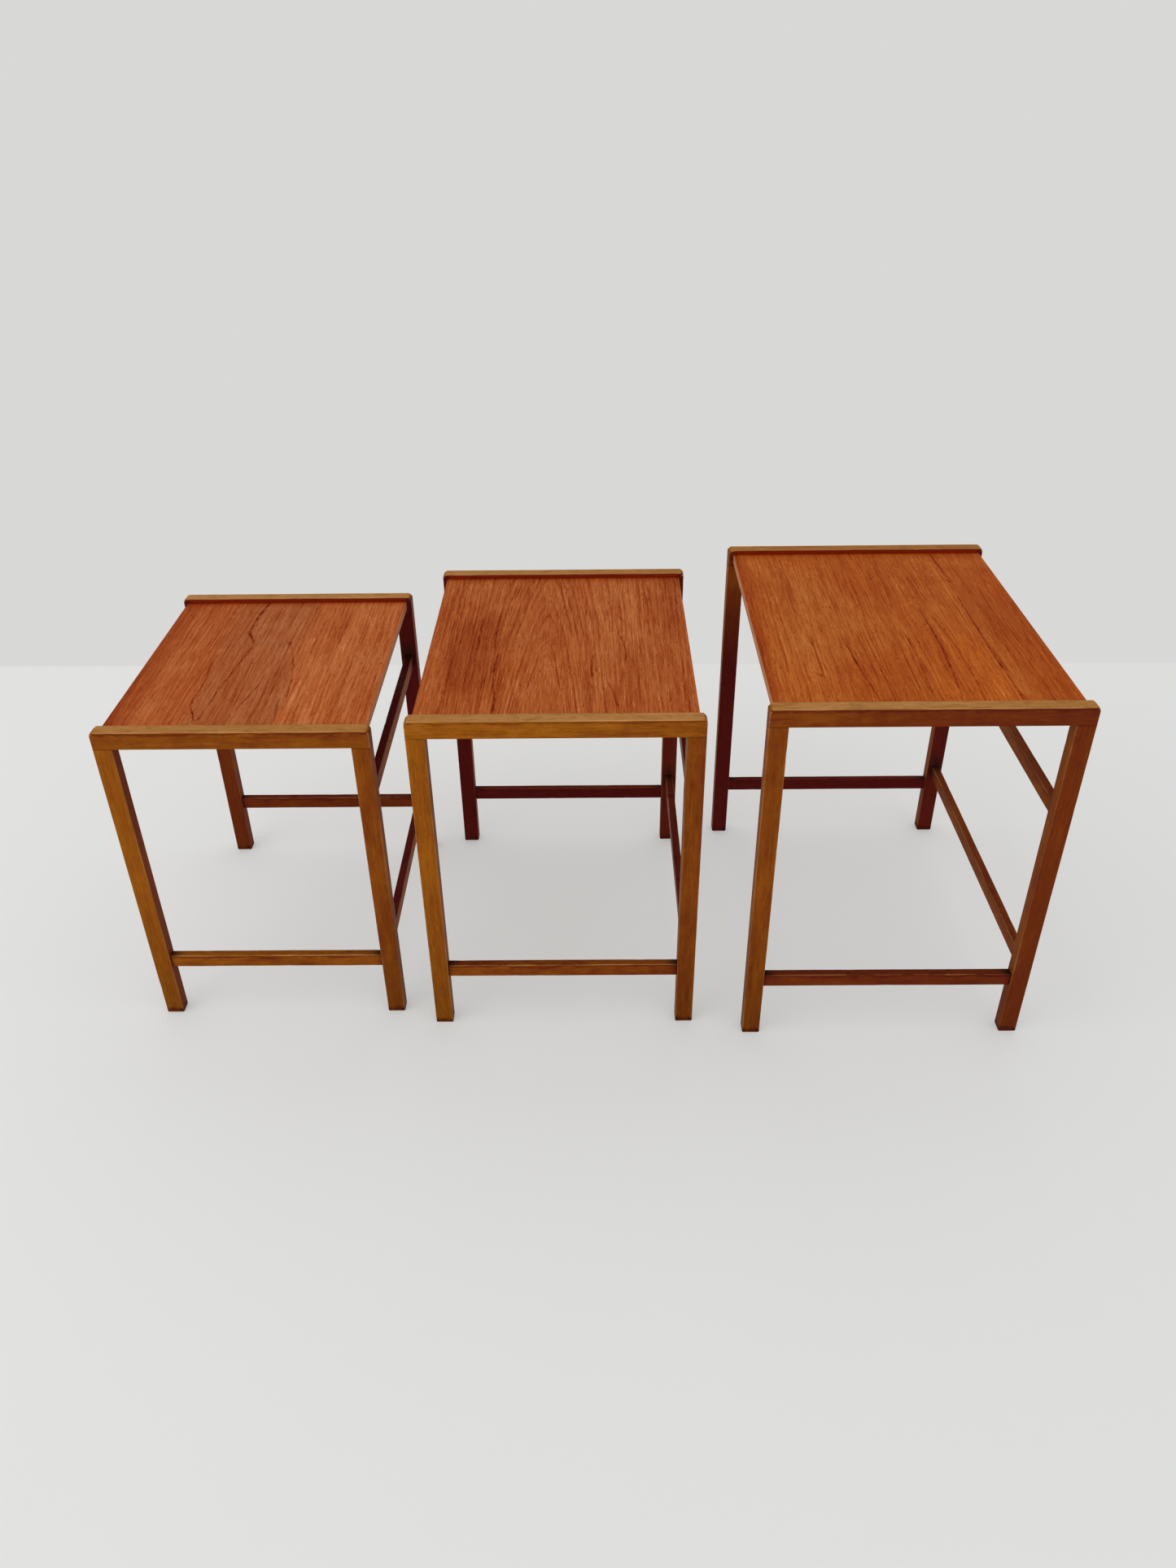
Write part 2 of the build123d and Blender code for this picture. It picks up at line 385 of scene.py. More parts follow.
def make_bar(table, name, kind, bar, end, side, finish, random):
    """One bar of a frame in place of its solid, with its arrises' worn and painted highlight, fading, end
    grain, joints, and dirt with painted contact shade marked.

    End grain is the squared cosine of the normal to the bar's length. The joint mark falls from 1 at
    an end that butts against another bar to 0 at JOINT_REACH from it. Depth is how far a point lies
    below the bar's upper face.
    """
    node = f"{table}_{name}"
    low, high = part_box(node)
    points, wear = bar_surface(low, high, bar, random)
    right_handed = (bar.along, bar.across, bar.through) in ((X, Y, Z), (Y, Z, X), (Z, X, Y))
    mesh = grid_mesh(node + "_wood", points, wear, right_handed)
    places, normals = read_points(mesh, "co"), read_points(mesh, "normal")
    put_attribute(mesh, "fade", fading(table, kind, end, side, places, normals))
    put_attribute(mesh, "end_grain", normals[:, bar.along] ** 2)
    along = places[:, bar.along]
    gaps = [np.where(bar.eased_ends[0], JOINT_REACH, along - low[bar.along])]
    gaps.append(np.where(bar.eased_ends[1], JOINT_REACH, high[bar.along] - along))
    put_attribute(mesh, "joint", 1 - np.clip(np.minimum(*gaps) / JOINT_REACH, 0, 1))
    put_attribute(mesh, "depth", high.z - places[:, Z])
    marks = smudges_and_contact_shade(table, kind, end, side, places, normals)
    put_attribute(mesh, "smudge", AGEING[table].grime_and_shade * marks)
    mesh.materials.append(finish)
    piece = bpy.data.objects.new(node + "_wood", mesh)
    bpy.context.scene.collection.objects.link(piece)
    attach(piece, f"{table}_table")
    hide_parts(node)


class Value:
    """An output of a node. Arithmetic on it adds Math nodes to its tree."""

    def __init__(self, nodes, socket):
        self.nodes = nodes
        self.socket = socket

    def math(self, operation, *numbers):
        return self.nodes.node("ShaderNodeMath", {"operation": operation}, dict(enumerate(numbers)))

    def __add__(self, other):
        return self.math("ADD", self, other)

    def __sub__(self, other):
        return self.math("SUBTRACT", self, other)

    def __rsub__(self, other):
        return self.math("SUBTRACT", other, self)

    def __mul__(self, other):
        return self.math("MULTIPLY", self, other)

    def __truediv__(self, other):
        return self.math("DIVIDE", self, other)

    def __pow__(self, other):
        return self.math("POWER", self, other)

    def __abs__(self):
        return self.math("ABSOLUTE", self)

    __radd__ = __add__
    __rmul__ = __mul__

    def step(self, start, stop):
        """0 before start, 1 after stop, and a smooth rise between them."""
        sockets = {"Value": self, "From Min": start, "From Max": stop}
        return self.nodes.node("ShaderNodeMapRange", {"interpolation_type": "SMOOTHSTEP"}, sockets)


class Nodes:
    """A node tree under construction."""

    def __init__(self, tree):
        self.tree = tree

    def node(self, kind, settings=None, sockets=None, output=0):
        """Add a node: its settings first, then the numbers or links of its sockets. Gives one output."""
        made = self.tree.nodes.new(kind)
        for name, setting in (settings or {}).items():
            if name == "stops":
                self.set_stops(made.color_ramp.elements, setting)
            elif name == "points":
                self.set_points(made.mapping, setting)
            else:
                setattr(made, name, setting)
        for name, given in (sockets or {}).items():
            self.feed(made.inputs[name], given)
        return Value(self, made.outputs[output])

    def set_stops(self, elements, stops):
        """Places and colours of a ramp, in rising order."""
        while len(elements) < len(stops):
            elements.new(0.5)
        for element, (place, colour) in zip(elements, stops):
            element.position = place
            element.color = (*colour, 1.0)

    def set_points(self, mapping, points):
        """Points of a smooth curve, in rising order."""
        mapping.use_clip = False
        curve = mapping.curves[0]
        while len(curve.points) < len(points):
            curve.points.new(0.5, 0.5)
        for point, place in zip(curve.points, points):
            point.location = place
        mapping.update()

    def feed(self, socket, given):
        """Link a value to a socket, or set a plain number or colour on it."""
        if isinstance(given, Value):
            self.tree.links.new(given.socket, socket)
        elif socket.type == "RGBA":
            socket.default_value = (*given, 1.0)
        else:
            socket.default_value = given

    def seen(self):
        """1 to the camera, to gloss and to glass, and 0 to light on its way to a surface."""
        rays = ("Camera", "Glossy", "Transmission")
        camera, gloss, glass = (self.node("ShaderNodeLightPath", output=f"Is {ray} Ray") for ray in rays)
        return camera.math("MAXIMUM", camera.math("MAXIMUM", camera, gloss), glass)


class Finish(Nodes):
    """A material under construction, with the few forms that the woods are made of."""

    def __init__(self, name):
        self.material = bpy.data.materials.new(name)
        self.material.use_nodes = True
        super().__init__(self.material.node_tree)
        self.shader = self.tree.nodes["Principled BSDF"]
        self.place = self.node("ShaderNodeTexCoord", output="Object")
        self.x, self.y, self.z = (
            self.node("ShaderNodeSeparateXYZ", {}, {"Vector": self.place}, output=axis) for axis in "XYZ"
        )

    def attribute(self, name):
        """A number that the piece's own mesh carries."""
        return self.node("ShaderNodeAttribute", {"attribute_name": name}, output="Fac")

    def noise(self, sizes, detail=2.0, place=None):
        """Cloudy noise about zero, its lumps of the given sizes along X, Y and Z in the place's units."""
        sockets = {0: place or self.place, 1: tuple(1 / size for size in sizes)}
        stretched = self.node("ShaderNodeVectorMath", {"operation": "MULTIPLY"}, sockets)
        sockets = {"Vector": stretched, "Scale": 1.0, "Detail": detail}
        return self.node("ShaderNodeTexNoise", {}, sockets) - 0.5

    def course(self, points, along):
        """Place across at each place along: a smooth curve through points (across, along)."""
        rising = sorted((y, x) for x, y in points)
        return self.node("ShaderNodeFloatCurve", {"points": rising}, {"Value": along})

    def mix(self, share, first, second, blend="MIX"):
        """Colour between two colours, or of the second laid over the first."""
        settings = {"data_type": "RGBA", "blend_type": blend, "clamp_factor": True}
        return self.node("ShaderNodeMix", settings, {"Factor": share, 6: first, 7: second}, output=2)

    def shaded(self, colour, tone):
        """Colour times a number."""
        return self.mix(1.0, colour, tone, "MULTIPLY")

    def done(self, colour, roughness, height, relief, specular):
        """Set the shader: colour, roughness and height vary over the surface, relief and specular don't."""
        self.feed(self.shader.inputs["Base Color"], colour)
        self.feed(self.shader.inputs["Roughness"], roughness)
        self.feed(self.shader.inputs["Specular IOR Level"], specular)
        bump = self.node("ShaderNodeBump", {}, {"Strength": 1.0, "Distance": relief, "Height": height})
        self.feed(self.shader.inputs["Normal"], bump)
        return self.material


def along_grain(axis, length, width):
    """Sizes of a lump of noise that is drawn out along one axis."""
    return tuple(length if each == axis else width for each in (X, Y, Z))


# Stain of the frames by how far it has faded
STAIN = (
    # Below 0 the stain turns to the bright red of painted light bounced from a top
    (-0.5, (0.200, 0.0160, 0.0050)),
    (-0.2, (0.078, 0.0068, 0.0062)),
    (0.0, (0.078, 0.0068, 0.0062)),
    (0.5, (0.151, 0.0280, 0.0052)),
    (1.0, (0.290, 0.0900, 0.0062)),
    (1.5, (0.380, 0.1660, 0.0430)),
    (2.0, (0.500, 0.2500, 0.0900)),
)
# Pale arrises: worn, with a painted highlight
WORN_ARRIS_AND_HIGHLIGHT = (0.52, 0.28, 0.095)
FOOT_DIRT = (0.060, 0.008, 0.004)
FOOT_DIRT_HEIGHT = 0.012
FOOT_RIM = (0.001, 0.004)
LEG_DULL = 0.26
LEG_DULL_HEIGHT = 0.25
JOINT_LINE = (0.90, 0.97)
RUBBED_AND_HIGHLIT = {X: 1.0, Y: 0.8, Z: 0.55}
BLOTCHES = {X: 0.55, Y: 0.40, Z: 0.30}
# Colour of the dark marks where bars meet: dirt with painted contact shade
SMUDGE_AND_SHADE_COLOUR = (0.014, 0.010, 0.006)
STAIN_LINE_RISE = (0.0005, 0.0018)
STAIN_LINE_FALL = (0.0020, 0.0060)

# Length and width of the lumps in each layer of the beech's figure
BEECH_CLOUD = (0.10, 0.020)
BEECH_BLOTCH = (0.022, 0.011)
BEECH_STREAK = (0.07, 0.0030)
BEECH_PORES = (0.016, 0.0009)
BEECH_FLECKS = (0.0050, 0.0009)

# Depth of each surface's relief, and how glossy it is
BEECH_RELIEF, BEECH_GLOSS = 0.00012, 0.01
TEAK_RELIEF, TEAK_GLOSS = 0.0001, 0.005
BACKING_RELIEF, BACKING_GLOSS = 0.00015, 0.25
CHIP_RELIEF, CHIP_GLOSS = 0.0003, 0.2
DOWEL_RELIEF, DOWEL_GLOSS = 0.0002, 0.25
FLOOR_RELIEF, FLOOR_GLOSS = 0.0001, 0.1


def stained_beech(axis):
    """Beech under golden brown stain: blotches, streaks, fine pores and short flecks, arrises worn pale
    with a painted highlight.

    Under the worn arris of a rail runs an uneven line of darker stain. Stretchers and side rails are
    darker and redder near the ends that butt against the legs, partly dirt and partly painted contact
    shade. Legs are darker towards the floor, with a band of dirt round the foot.
    """
    wood = Finish(f"stained_beech_along_{'xyz'[axis]}")
    cloud = wood.noise(along_grain(axis, *BEECH_CLOUD), 2.0)
    blotch = wood.noise(along_grain(axis, *BEECH_BLOTCH), 3.0)
    streak = wood.noise(along_grain(axis, *BEECH_STREAK), 3.0)
    pores = wood.noise(along_grain(axis, *BEECH_PORES), 2.0)
    flecks = wood.noise(along_grain(axis, *BEECH_FLECKS), 1.0).step(0.10, 0.22)
    joint = wood.attribute("joint")
    end_grain = wood.attribute("end_grain")
    fade = wood.attribute("fade")
    uneven = 0.5 * cloud + BLOTCHES[axis] * blotch + 0.2 * streak
    fade = fade + uneven * (0.35 + 0.65 * fade.step(0.1, 0.6))
    tone = 1 + 0.35 * streak + 0.8 * pores - 0.25 * flecks - 0.2 * end_grain - 0.55 * joint.step(*JOINT_LINE)
    if axis == Z:
        dull = LEG_DULL * (1 - wood.z.step(0.0, LEG_DULL_HEIGHT)) * fade.step(0.2, 0.7)
        tone = tone * (1 - dull)
    else:
        depth = wood.attribute("depth") + 0.012 * blotch
        line = depth.step(*STAIN_LINE_RISE) * (1 - depth.step(*STAIN_LINE_FALL))
        # Darker and redder near ends that butt against a leg: dirt and painted contact shade
        fade = fade - 0.3 * joint ** 2 - 0.22 * line
        tone = tone - 0.08 * line
    least, most = STAIN[0][0], STAIN[-1][0]
    stops = [((faded - least) / (most - least), colour) for faded, colour in STAIN]
    colour = wood.node("ShaderNodeValToRGB", {"stops": stops}, {"Fac": (fade - least) / (most - least)})
    colour = wood.shaded(colour, tone)
    # Pale arrises: worn, with a painted highlight
    rubbed_and_highlit = RUBBED_AND_HIGHLIT[axis] * wood.attribute("wear") * (0.35 + 0.4 * (streak + cloud).step(-0.1, 0.12))
    colour = wood.mix(rubbed_and_highlit * fade.step(0.0, 0.9), colour, WORN_ARRIS_AND_HIGHLIGHT)
    # Dark marks where bars meet: dirt with painted contact shade
    colour = wood.mix(wood.attribute("smudge"), colour, SMUDGE_AND_SHADE_COLOUR)
    if axis == Z:
        dirt = 1 - (wood.z + 0.020 * blotch).step(0.3 * FOOT_DIRT_HEIGHT, FOOT_DIRT_HEIGHT)
        colour = wood.mix(dirt * (0.35 + 0.5 * wood.z.step(*FOOT_RIM)), colour, FOOT_DIRT)
    roughness = 0.30 + 0.12 * fade.step(0, 1) + 0.15 * streak + 0.08 * flecks
    height = 0.6 * pores + 0.4 * streak - 0.4 * flecks
    return wood.done(colour, roughness, height, BEECH_RELIEF, BEECH_GLOSS)


@dataclass
class Vein:
    """A dark vein: its course from rear to front, half its width and how dark it is."""
    course: tuple
    width: float
    share: float


@dataclass
class Patch:
    """A patch between two courses, left and right, with soft edges, and its shade."""
    left: tuple
    right: tuple
    soft: float
    shade: tuple


@dataclass
class Leaf:
    """Figure of one top's veneer, in millimetres: a flat slice through a log that leans under it.

    The log's heart runs along Y at heart, and the grain forms arches over it, apex wide at their tips
    and opening by lean towards the front; further out than ARCH_REACH it runs straight. Ring is the
    width of a year's growth, and ring share how dark its edge is. Red is that of the plain wood; green
    and blue are how yellow and how grey it is. Grain is the contrast of the fine lines. A course is
    points (x, y) from the middle of the top, rear to front.
    """
    heart: float
    apex: float
    lean: float
    ring: float
    ring_share: float
    red: float
    green: float
    blue: float
    grain: float
    patches: tuple
    veins: tuple


# Shades of the patches: how pale and how grey they are beside the plain veneer
PLUM = (0.90, 1.26)
DARK_RED = (0.73, 1.02)
DEEP_ORANGE = (0.90, 0.94)
PALE_ORANGE = (1.12, 1.00)
BRIGHT_ORANGE = (1.06, 0.86)
# Painted sheen: paler and greyer
ROSY_SHEEN = (1.03, 1.10)
DULL_RED = (0.86, 1.06)

MM = 1000
LINE_DEPTH = 0.25
ARCH_REACH = 70
WANDER = 8
# Band along a top's rear edge beside the rail, dirt with painted shade: its width in millimetres, and its
# shade of red and of grey
REAR_GRIME_AND_SHADE_WIDTH = 9
REAR_GRIME_AND_SHADE_TINT = (0.62, 0.55)

# Veins: how dark they are, how they begin and end, how their edges fade, and how ragged they run
VEIN_DEPTH = 0.80
VEIN_TAPER = (-4, 12)
VEIN_EDGE = (0.2, 1.2)
VEIN_RAGGED = 4

# Sizes of the teak's lumps in millimetres, across the rings and along Y
RING_BREAKS = (6, 45, 1)
RING_BANDS = (22, 260, 1)
RING_STREAKS = (3.2, 160, 1)
RING_LINES = (2.2, 220, 1)

# Sizes of its other lumps in metres, along X and Y
WANDER_SIZE = (0.045, 0.140, 1.0)
FINE_SIZE = (0.0011, 0.030, 1.0)
MOTTLE_SIZE = (0.030, 0.045, 1.0)
DASH_SIZE = (0.0012, 0.009, 1.0)
VEIN_SWELL_SIZE = (0.010, 0.018, 1.0)
VEIN_RAGGED_SIZE = (0.004, 0.010, 1.0)
VEIN_GAP_SIZE = (0.006, 0.016, 1.0)

LEAVES = {
    "small": Leaf(
        heart=-400, apex=8, lean=0.1, ring=6.5, ring_share=0.20, red=0.402, green=0.60, blue=0.35, grain=0.85,
        patches=(
            Patch(((40, 180), (23, 42), (43, -60), (48, -180)), ((200, 180), (200, -180)), 8, PALE_ORANGE),
            Patch(((-80, 190), (-74, 50)), ((32, 190), (36, 50)), 9, PLUM),
            Patch(((-74, 55), (-66, -60), (-62, -190)), ((22, 55), (33, 0), (43, -60), (46, -190)), 3, PLUM),
            Patch(((-200, 190), (-200, -190)), ((-132, 190), (-142, -190)), 12, DARK_RED),
            # Rear edge beside the rail: darker red, partly painted shade
            Patch(((-200, 200), (-200, 168)), ((200, 200), (200, 168)), 6, DARK_RED),
        ),
        veins=(
            Vein(((-37, 180), (-42, 154), (-44, 113), (-44, 78), (-37, 64), (-28, 42)), 2.2, 0.85),
            Vein(((-28, 42), (-31, 12), (-36, -30), (-40, -72), (-44, -121), (-47, -166)), 1.8, 0.70),
            Vein(((-83, 159), (-80, 108)), 1.6, 0.60),
            Vein(((-74, 22), (-70, -30), (-66, -62), (-64, -128), (-58, -145), (-52, -168)), 1.7, 0.55),
            Vein(((-70, -28), (-66, -60)), 2.4, 0.50),
            Vein(((-60, -138), (-49, -168)), 2.6, 0.60),
            Vein(((7, -44), (3, -86), (-4, -117), (-8, -142)), 1.5, 0.55),
            Vein(((15, -144), (14, -168)), 2.0, 0.60),
            Vein(((31, 166), (35, 141), (39, 110)), 1.7, 0.55),
            Vein(((18, 52), (22, 34)), 4.5, 0.55),
            Vein(((22, 40), (33, -2), (43, -61), (48, -110)), 1.6, 0.50),
            Vein(((40, -110), (42, -135), (47, -168)), 1.6, 0.60),
            Vein(((113, -10), (113, -140)), 1.2, 0.40),
            Vein(((-133, 22), (-132, -50)), 1.4, 0.35),
        ),
    ),
    "medium": Leaf(
        heart=-17, apex=9, lean=0.13, ring=6.3, ring_share=0.25, red=0.393, green=0.62, blue=0.35, grain=1.05,
        patches=(
            Patch(((-145, 68), (-140, -140)), ((-76, 68), (-78, -140)), 16, DARK_RED),
            Patch(((30, 190), (30, -20)), ((118, 190), (118, -20)), 30, PALE_ORANGE),
            Patch(((132, 210), (140, 10)), ((200, 210), (200, 10)), 12, DULL_RED),
            # Rear edge beside the rail: darker red, partly painted shade
            Patch(((-200, 240), (-200, 188)), ((200, 240), (200, 188)), 8, DARK_RED),
        ),
        veins=(
            Vein(((-136, 200), (-135, 27), (-137, -198)), 1.4, 0.45),
            Vein(((-125, 180), (-126, 60)), 1.2, 0.40),
            Vein(((-106, 70), (-105, 6), (-107, -66)), 1.8, 0.60),
            Vein(((-76, 191), (-80, 125), (-82, 55), (-81, -43)), 1.6, 0.55),
            Vein(((-76, -38), (-80, -99), (-76, -148), (-75, -195)), 2.2, 0.65),
            Vein(((-92, -92), (-96, -195)), 1.4, 0.45),
            Vein(((-61, 182), (-61, 134)), 1.4, 0.45),
            Vein(((-3, 188), (0, 143), (5, 97), (11, 48), (14, 12)), 1.4, 0.55),
            Vein(((35, 126), (35, 60)), 1.3, 0.45),
            Vein(((74, 22), (81, 0), (85, -29), (85, -72)), 1.7, 0.65),
            Vein(((44, -42), (42, -99), (46, -148)), 1.9, 0.50),
            Vein(((60, -110), (67, -140), (74, -184)), 1.8, 0.65),
            Vein(((121, 176), (123, 96)), 1.3, 0.45),
            Vein(((116, 60), (115, 46)), 3.0, 0.55),
            Vein(((77, 72), (84, 52)), 2.6, 0.55),
            Vein(((119, -34), (117, -114)), 1.4, 0.45),
            Vein(((135, -128), (136, -190)), 1.5, 0.55),
            Vein(((154, -86), (155, -186)), 1.2, 0.45),
        ),
    ),
    "large": Leaf(
        heart=-600, apex=8, lean=0.1, ring=5.2, ring_share=0.18, red=0.412, green=0.57, blue=0.20, grain=0.80,
        patches=(
            Patch(((18, -50), (14, -240)), ((106, -50), (106, -240)), 14, BRIGHT_ORANGE),
            Patch(((127, 170), (127, -240)), ((240, 170), (240, -240)), 5, DEEP_ORANGE),
            # Painted sheen over the left of the top
            Patch(((-140, 150), (-140, -120)), ((-50, 150), (-40, -120)), 22, ROSY_SHEEN),
            Patch(((-70, 190), (-50, 60)), ((30, 190), (20, 60)), 28, DEEP_ORANGE),
            Patch(((-90, -110), (-70, -240)), ((-10, -110), (0, -240)), 24, DEEP_ORANGE),
            Patch(((100, 60), (110, -70)), ((240, 60), (240, -70)), 20, DULL_RED),
            Patch(((-200, 240), (-200, -240)), ((-169, 240), (-167, -240)), 6, DARK_RED),
            # Rear edge beside the rail: darker red, partly painted shade
            Patch(((-240, 250), (-240, 208)), ((240, 250), (240, 208)), 10, DARK_RED),
        ),
        veins=(
            Vein(((107, 222), (108, 117), (106, -7), (107, -220)), 1.5, 0.75),
            Vein(((17, 122), (15, 71), (12, 24)), 1.6, 0.55),
            Vein(((11, -38), (12, -89), (9, -206)), 1.4, 0.45),
            Vein(((45, 33), (48, -61), (45, -132), (38, -214)), 1.8, 0.60),
            Vein(((61, 172), (61, 52)), 1.2, 0.45),
            Vein(((58, 12), (65, -96), (66, -214)), 1.2, 0.45),
            Vein(((-72, -38), (-66, -96), (-62, -150), (-57, -210)), 1.7, 0.70),
            Vein(((-109, -46), (-108, -150)), 1.3, 0.45),
            Vein(((-121, -142), (-103, -162)), 5.0, 0.50),
            Vein(((-104, -166), (-103, -220)), 1.5, 0.55),
            Vein(((127, 155), (127, -134)), 1.6, 0.25),
            Vein(((-40, -130), (-38, -218)), 1.3, 0.45),
            Vein(((-10, -52), (-12, -206)), 1.2, 0.35),
            Vein(((79, -130), (80, -216)), 1.1, 0.40),
        ),
    ),
}


def teak_veneer(table):
    """Teak leaf: bands and lines that follow the log's rings, its own patches and veins, and short pores.

    The grain is drawn over the ring's radius and Y, so that it runs straight far from the heart and in
    nested arches over it. Everything makes the wood paler or darker, which is its red. Paler teak is
    yellower: green goes as the square of red, and blue as its cube. Pale dashes are painted glints in
    the pores, and the band along the rear edge beside the rail is dirt with painted shade.
    """
    wood = Finish(f"{table}_teak_top")
    leaf = LEAVES[table]
    low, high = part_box(f"{table}_face_veneer")
    x = MM * (wood.x - (low.x + high.x) / 2) + WANDER * wood.noise(WANDER_SIZE, 2.0)
    y = MM * wood.y

    off_heart = x - leaf.heart
    near_heart = off_heart.math("EXPONENT", -1 * (off_heart / ARCH_REACH) ** 2)
    arch = (off_heart ** 2 + leaf.apex ** 2) ** 0.5
    radius = arch + leaf.lean * y * near_heart
    steep = 0.4 + 0.6 * abs(off_heart) / arch
    grain = wood.node("ShaderNodeCombineXYZ", {}, {"X": radius, "Y": y})
    count = radius / leaf.ring
    ring, within = count.math("FLOOR", count), count.math("FRACT", count)
    chance = wood.node("ShaderNodeTexWhiteNoise", {"noise_dimensions": "1D"}, {"W": ring})
    broken = wood.noise(RING_BREAKS, 2.0, grain).step(-0.20, 0.05)
    ring_line = within.step(0.35, 0.9) * (1 - within.step(0.9, 1.0))
    ring_line = ring_line * broken * (0.25 + 0.75 * chance ** 2)

    bands = wood.noise(RING_BANDS, 2.0, grain)
    streaks = wood.noise(RING_STREAKS, 2.0, grain)
    lines = wood.noise(RING_LINES, 1.0, grain).step(0.05, 0.16) * broken
    fine = wood.noise(FINE_SIZE, 2.0)
    mottle = wood.noise(MOTTLE_SIZE, 2.0)
    dashes = wood.noise(DASH_SIZE, 1.0)
    # Pale dashes are painted glints in the pores
    dark_dash, glint_dash = 1 - dashes.step(-0.24, -0.12), dashes.step(0.14, 0.25)

    grained = leaf.grain * (steep * (0.65 * streaks - LINE_DEPTH * lines) + 0.9 * fine)
    red = leaf.red * (1 + 0.42 * bands + 0.15 * mottle + grained)
    grey = 1 + 0.2 * mottle
    for patch in leaf.patches:
        soft, (rear, front) = patch.soft, (patch.left[0][1], patch.left[-1][1])
        left, right = wood.course(patch.left, y), wood.course(patch.right, y)
        sides = (x - left).step(-soft, soft) * (right - x).step(-soft, soft)
        ends = (y - front).step(-2 * soft, 2 * soft) * (rear - y).step(-2 * soft, 2 * soft)
        share = sides * ends * (0.8 + 1.2 * bands)
        paler, greyer = patch.shade
        red = red * (1 + (paler - 1) * share)
        grey = grey * (1 + (greyer - 1) * share)
    red = red * (1 - leaf.ring_share * ring_line)
    thickness = 1 + 2.0 * wood.noise(VEIN_SWELL_SIZE, 2.0)
    ragged = x + VEIN_RAGGED * wood.noise(VEIN_RAGGED_SIZE, 2.0)
    patchy = 0.3 + 0.7 * wood.noise(VEIN_GAP_SIZE, 2.0).step(-0.12, 0.10)
    inner, outer = VEIN_EDGE
    for vein in leaf.veins:
        off = abs(ragged - wood.course(vein.course, y)) / thickness
        rear, front = vein.course[0][1], vein.course[-1][1]
        run = (y - front).step(*VEIN_TAPER) * (rear - y).step(*VEIN_TAPER)
        core = 1 - off.step(inner * vein.width, outer * vein.width)
        share = vein.share * core * run * patchy
        red = red * (1 - VEIN_DEPTH * share)
    red = red * (1 - 0.35 * dark_dash) * (1 + 0.28 * glint_dash)
    # Darker, redder band along the rear edge beside the rail: dirt with painted shade
    corner = 1 - (MM * high.y - y).step(0, REAR_GRIME_AND_SHADE_WIDTH)
    red = red * (1 + (REAR_GRIME_AND_SHADE_TINT[0] - 1) * corner)
    grey = grey * (1 + (REAR_GRIME_AND_SHADE_TINT[1] - 1) * corner)
    green = leaf.green * grey * red ** 2
    blue = leaf.blue * grey ** 2.5 * red ** 3
    colour = wood.node("ShaderNodeCombineColor", {}, {"Red": red, "Green": green, "Blue": blue})
    roughness = 0.36 + 0.15 * bands + 0.10 * dark_dash
    height = fine - 0.5 * dark_dash - 0.2 * ring_line
    return wood.done(colour, roughness, height, TEAK_RELIEF, TEAK_GLOSS)


LIPPING_LIGHT = (0.48, 0.185, 0.075)
LIPPING_DEEP = (0.30, 0.100, 0.040)


def teak_lipping(table):
    """Solid teak strip with straight grain along Y."""
    wood = Finish(f"{table}_teak_lipping")
    streak = wood.noise(along_grain(Y, 0.12, 0.0022), 3.0)
    pores = wood.noise(along_grain(Y, 0.015, 0.0006), 2.0)
    colour = wood.mix(0.5 + 1.6 * streak + 0.8 * pores, LIPPING_DEEP, LIPPING_LIGHT)
    return wood.done(colour, 0.34 + 0.15 * streak, pores, TEAK_RELIEF, TEAK_GLOSS)


BACKING_LIGHT = (0.32, 0.13, 0.045)
BACKING_DEEP = (0.17, 0.060, 0.020)


def backing_veneer():
    """Plain straight-grained veneer under the tops, never lacquered."""
    wood = Finish("backing_veneer")
    bands = wood.noise((0.020, 0.60, 1.0), 3.0)
    pores = wood.noise((0.0009, 0.020, 1.0), 2.0)
    cloud = wood.noise((0.09, 0.13, 1.0), 1.0)
    colour = wood.mix(0.5 + 1.3 * bands + 0.8 * pores + 0.6 * cloud, BACKING_DEEP, BACKING_LIGHT)
    return wood.done(colour, 0.62 + 0.15 * bands, pores, BACKING_RELIEF, BACKING_GLOSS)


CHIP_LIGHT = (0.58, 0.42, 0.24)
CHIP_DEEP = (0.33, 0.21, 0.11)
CHIPS_PER_METRE = 420.0


def chipboard():
    """Pressed chips, each a few millimetres long, in several browns."""
    wood = Finish("chipboard_core")
    sockets = {"Vector": wood.place, "Scale": CHIPS_PER_METRE}
    chips = wood.node("ShaderNodeTexVoronoi", {"feature": "F1"}, sockets, output="Distance")
    grain = wood.noise((0.003, 0.003, 0.0012), 3.0)
    colour = wood.mix(0.3 + 0.6 * chips + 1.2 * grain, CHIP_DEEP, CHIP_LIGHT)
    return wood.done(colour, 0.75 + 0.15 * grain, chips, CHIP_RELIEF, CHIP_GLOSS)


DOWEL_LIGHT = (0.64, 0.45, 0.25)
DOWEL_DEEP = (0.45, 0.28, 0.14)


def raw_beech():
    """Unstained beech of the dowels, flecked."""
    wood = Finish("raw_beech_dowels")
    streak = wood.noise((0.003, 0.003, 0.003), 3.0)
    flecks = wood.noise((0.0008, 0.0008, 0.0008), 1.0).step(0.08, 0.20)
    colour = wood.shaded(wood.mix(0.5 + streak, DOWEL_DEEP, DOWEL_LIGHT), 1 - 0.3 * flecks)
    return wood.done(colour, 0.6 + 0.15 * streak, streak, DOWEL_RELIEF, DOWEL_GLOSS)


